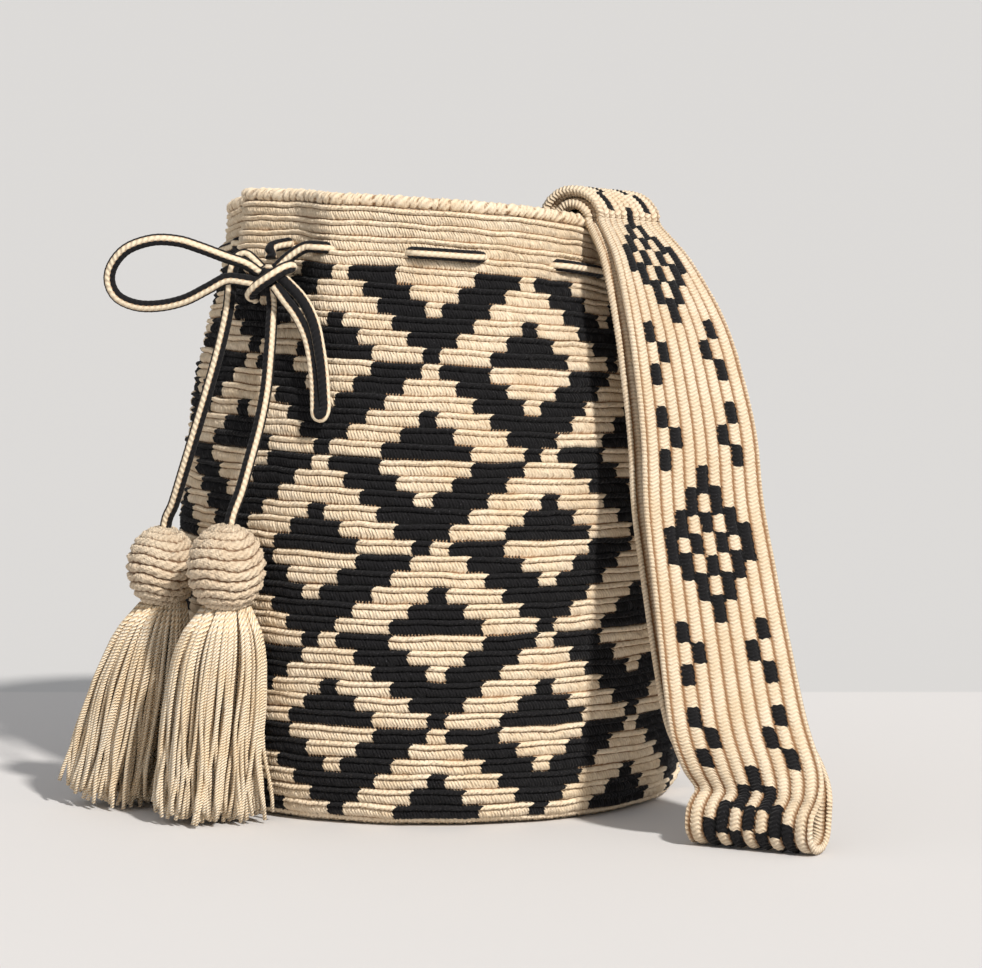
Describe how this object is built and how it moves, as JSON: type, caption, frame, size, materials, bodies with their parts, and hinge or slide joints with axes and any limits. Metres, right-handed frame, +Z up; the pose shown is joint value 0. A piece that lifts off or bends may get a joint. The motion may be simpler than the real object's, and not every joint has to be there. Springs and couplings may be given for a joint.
{
  "type": "wayuu mochila bag",
  "caption": "Crocheted round bucket bag with a drawstring mouth, hanging tassels and a long woven shoulder strap folded beside it.",
  "frame": {"origin": "middle of the round base, on the surface the bag stands on", "axes": "+Z up; the front of the bag, with the drawstring bow, faces -Y; the strap lies towards +X"},
  "size_m": [0.3396, 0.3045, 0.2799],
  "materials": {
    "crochet": "matt cotton crochet, cream with a black stepped pattern",
    "strap_crochet": "matt cotton crochet, cream with small black figures",
    "sewing_yarn": "plied cream cotton",
    "braided_cord": "braided cotton cord, cream and black",
    "tassel_crochet": "matt cream cotton crochet",
    "plied_yarn": "plied cream cotton yarn, slightly glossy"
  },
  "bodies": {
    "root": {"bag_body": "crochet", "shoulder_strap": "strap_crochet", "strap_seam_right": "sewing_yarn", "strap_seam_left": "sewing_yarn", "drawstring_mouth_run": "braided_cord", "drawstring_knot": "braided_cord", "drawstring_bow_loop": "braided_cord", "drawstring_short_loop": "braided_cord", "drawstring_left_tail": "braided_cord", "drawstring_right_tail": "braided_cord", "left_tassel_ball": "tassel_crochet", "right_tassel_ball": "tassel_crochet", "left_tassel_fringe": "plied_yarn", "right_tassel_fringe": "plied_yarn"}
  },
  "joints": []
}
